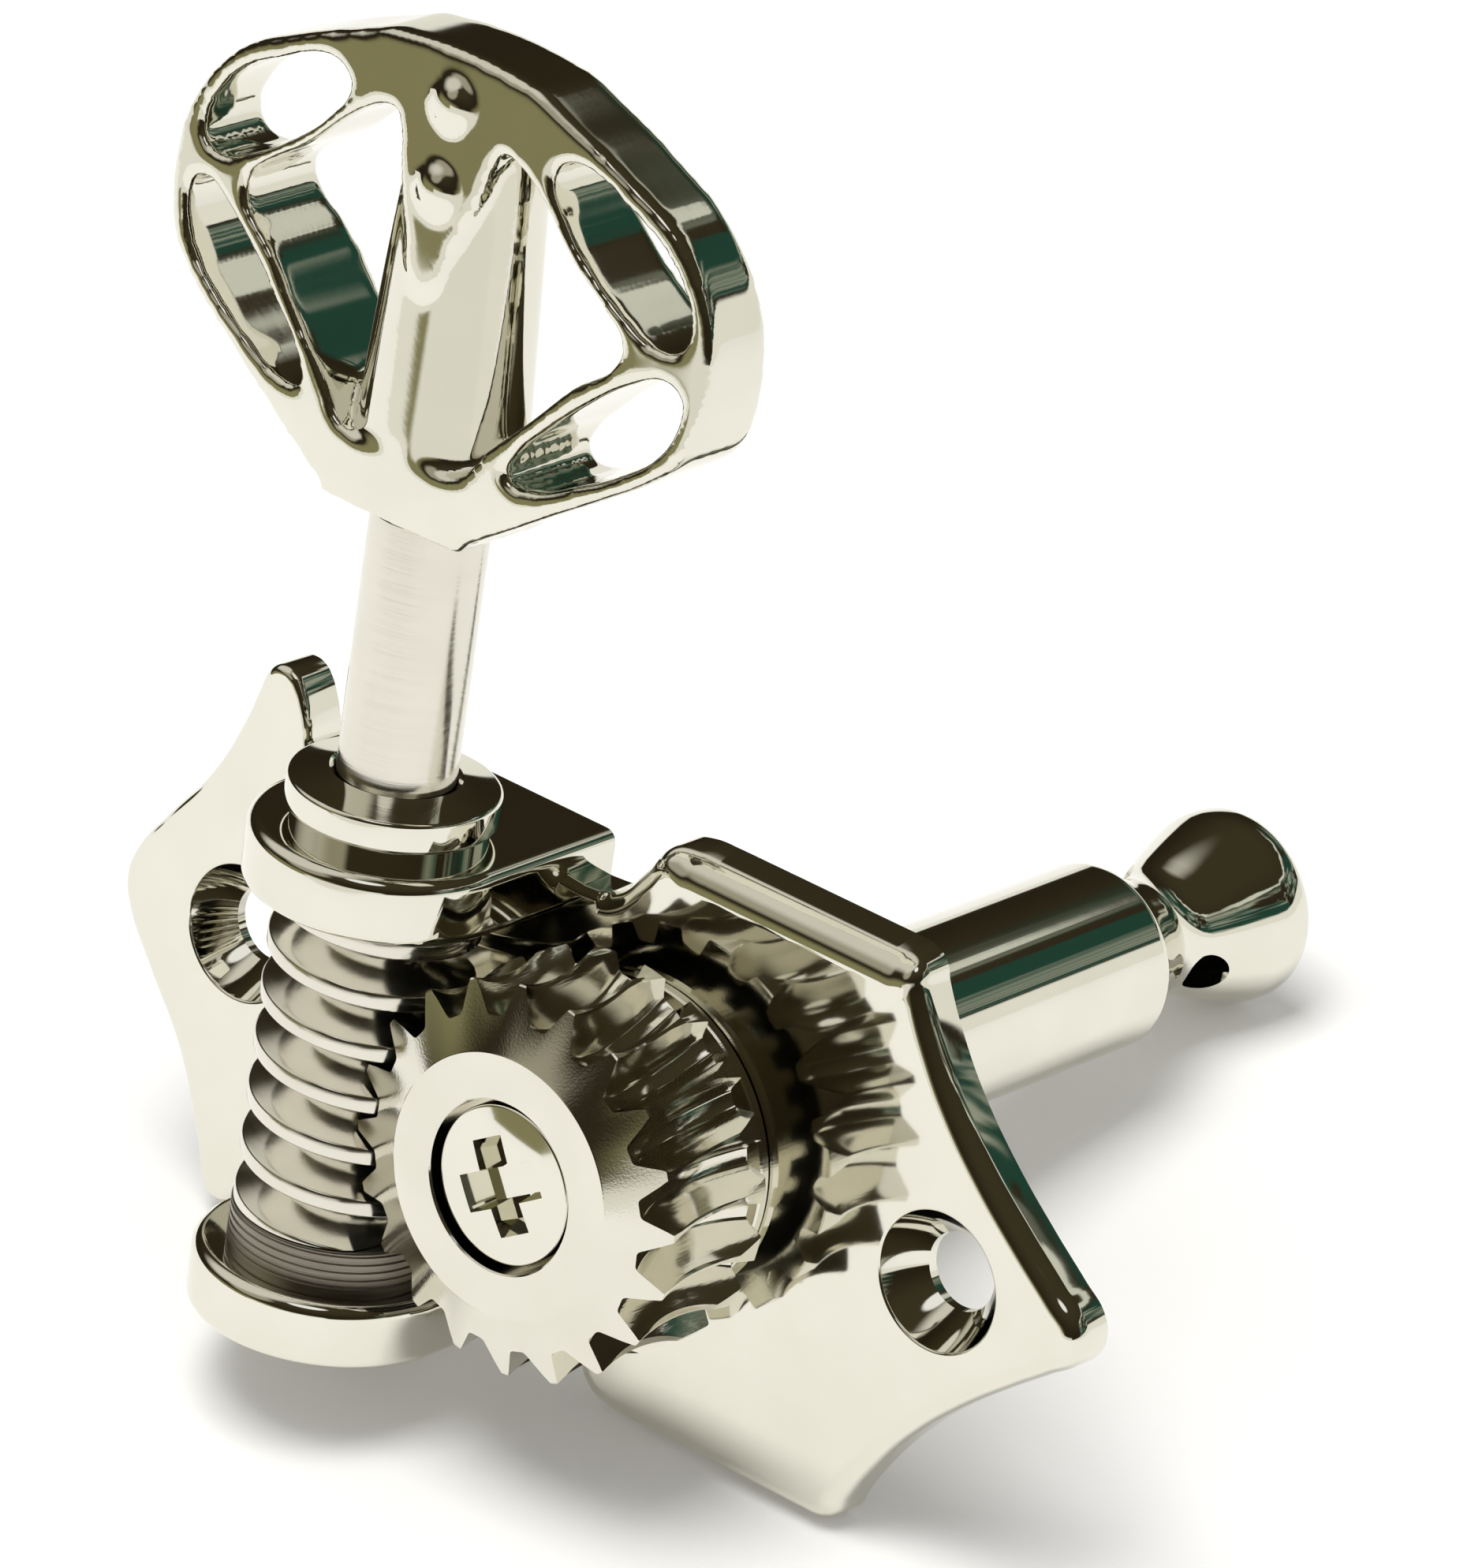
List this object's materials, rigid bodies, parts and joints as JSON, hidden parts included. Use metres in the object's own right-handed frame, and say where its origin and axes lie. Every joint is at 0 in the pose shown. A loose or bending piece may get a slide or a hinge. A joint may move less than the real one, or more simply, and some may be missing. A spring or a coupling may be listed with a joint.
{
  "type": "guitar tuning machine",
  "caption": "Open-gear guitar tuning machine: a pierced butterfly button turns a worm, and the worm turns a wheel on the string post.",
  "frame": {"origin": "on the string post's axis, in the plane of the plate's flat seat face that lies on the headstock", "axes": "+X along the string post away from the plate, +Z along the worm shaft towards the button, +Y from the post towards the worm"},
  "size_m": [0.0394, 0.0402, 0.0447],
  "materials": {
    "nickel": "polished nickel plate",
    "satin_nickel": "machined and nickel plated, satin",
    "turned_steel": "turned steel with fine rings, nickel plated",
    "dark_bronze": "dull dark bearing metal",
    "screw_steel": "bright nickel plated screw"
  },
  "bodies": {
    "plate": {"base_plate": "nickel", "upper_bush": "nickel", "lower_bush": "dark_bronze", "wheel_washer": "satin_nickel"},
    "worm": {"worm": "turned_steel", "button": "nickel"},
    "post": {"string_post": "nickel", "worm_wheel": "satin_nickel", "wheel_screw": "screw_steel"}
  },
  "joints": [
    {"name": "worm_spin", "type": "hinge", "parent": "plate", "child": "worm", "pos_m": [-0.00581, 0.00828, 0], "axis": [0, 0, 1], "continuous": true},
    {"name": "post_spin", "type": "hinge", "parent": "plate", "child": "post", "pos_m": [0, 0, 0], "axis": [1, 0, 0], "continuous": true}
  ],
  "couplings": [
    {"joint": "post_spin", "follows": "worm_spin", "ratio": 0.05}
  ]
}
